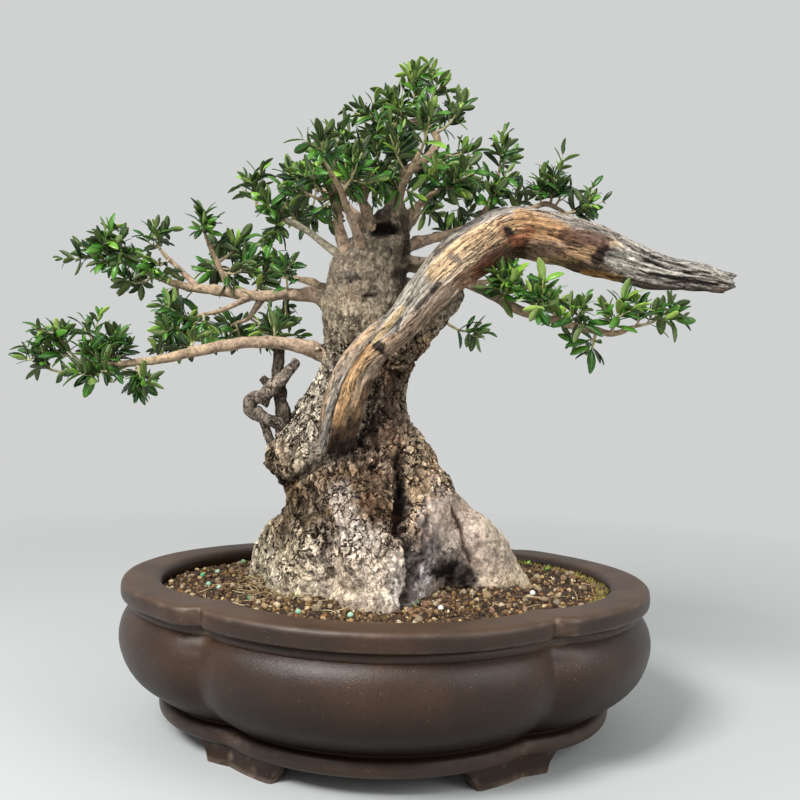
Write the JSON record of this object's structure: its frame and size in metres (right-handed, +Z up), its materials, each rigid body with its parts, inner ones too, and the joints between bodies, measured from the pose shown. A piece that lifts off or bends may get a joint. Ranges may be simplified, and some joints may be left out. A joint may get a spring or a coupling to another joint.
{
  "type": "potted olive bonsai",
  "caption": "Olive bonsai with a flared, cracked trunk, a dead limb sweeping over to one side and leafy sprays, planted in a lobed stoneware pot on bracket feet.",
  "frame": {"origin": "middle of the footprint of the whole tree and pot, on the surface that the pot's feet stand on", "axes": "+Z up; +X to the right of the tree's front view, the way the dead limb points; -Y towards the viewer of the front"},
  "size_m": [0.5456, 0.3418, 0.5167],
  "materials": {
    "clay": "unglazed dark brown stoneware, satin",
    "soil": "granular potting soil, matt",
    "screen": "black plastic mesh, matt",
    "bark": "rough cracked bark, matt",
    "deadwood": "weathered bare wood with streaked grain",
    "leaf": "leathery green leaf, slightly glossy"
  },
  "bodies": {
    "root": {"pot": "clay", "soil": "soil", "drain_screen_1": "screen", "drain_screen_2": "screen", "trunk": "bark", "dead_limb": "deadwood", "spray_apex": "leaf", "spray_apex_right": "leaf", "spray_back_left_high": "leaf", "spray_back_left_low": "leaf", "spray_back_mid": "leaf", "spray_back_right": "leaf", "spray_crown_back": "leaf", "spray_crown_front": "leaf", "spray_crown_left": "leaf", "spray_crown_left_high": "leaf", "spray_crown_low": "leaf", "spray_crown_mid": "leaf", "spray_crown_near": "leaf", "spray_crown_right": "leaf", "spray_crown_side": "leaf", "spray_front_right": "leaf", "spray_left_fork": "leaf", "spray_low_left_drop": "leaf", "spray_low_left_end": "leaf", "spray_low_left_mid": "leaf", "spray_low_left_near": "leaf", "spray_low_left_sprig": "leaf", "spray_low_left_tip": "leaf", "spray_low_left_under": "leaf", "spray_low_right_end": "leaf", "spray_low_right_front": "leaf", "spray_low_right_hang": "leaf", "spray_low_right_in": "leaf", "spray_low_right_mid": "leaf", "spray_low_right_tip": "leaf", "spray_mid_left_back": "leaf", "spray_mid_left_cross": "leaf", "spray_mid_left_end": "leaf", "spray_mid_left_fork": "leaf", "spray_mid_left_in": "leaf", "spray_mid_left_low": "leaf", "spray_mid_left_near": "leaf", "spray_mid_left_tip": "leaf", "spray_mid_left_top": "leaf", "spray_mid_left_up": "leaf", "spray_right_behind": "leaf", "spray_right_crest": "leaf", "spray_right_mid": "leaf", "spray_right_near": "leaf", "spray_right_tip": "leaf", "spray_right_up": "leaf", "spray_shoulder_front": "leaf", "spray_shoulder_left": "leaf", "spray_shoulder_top": "leaf", "spray_small_right": "leaf", "spray_up_left_back": "leaf", "spray_up_left_high": "leaf", "spray_up_left_in": "leaf", "spray_up_left_tip": "leaf"}
  },
  "joints": []
}
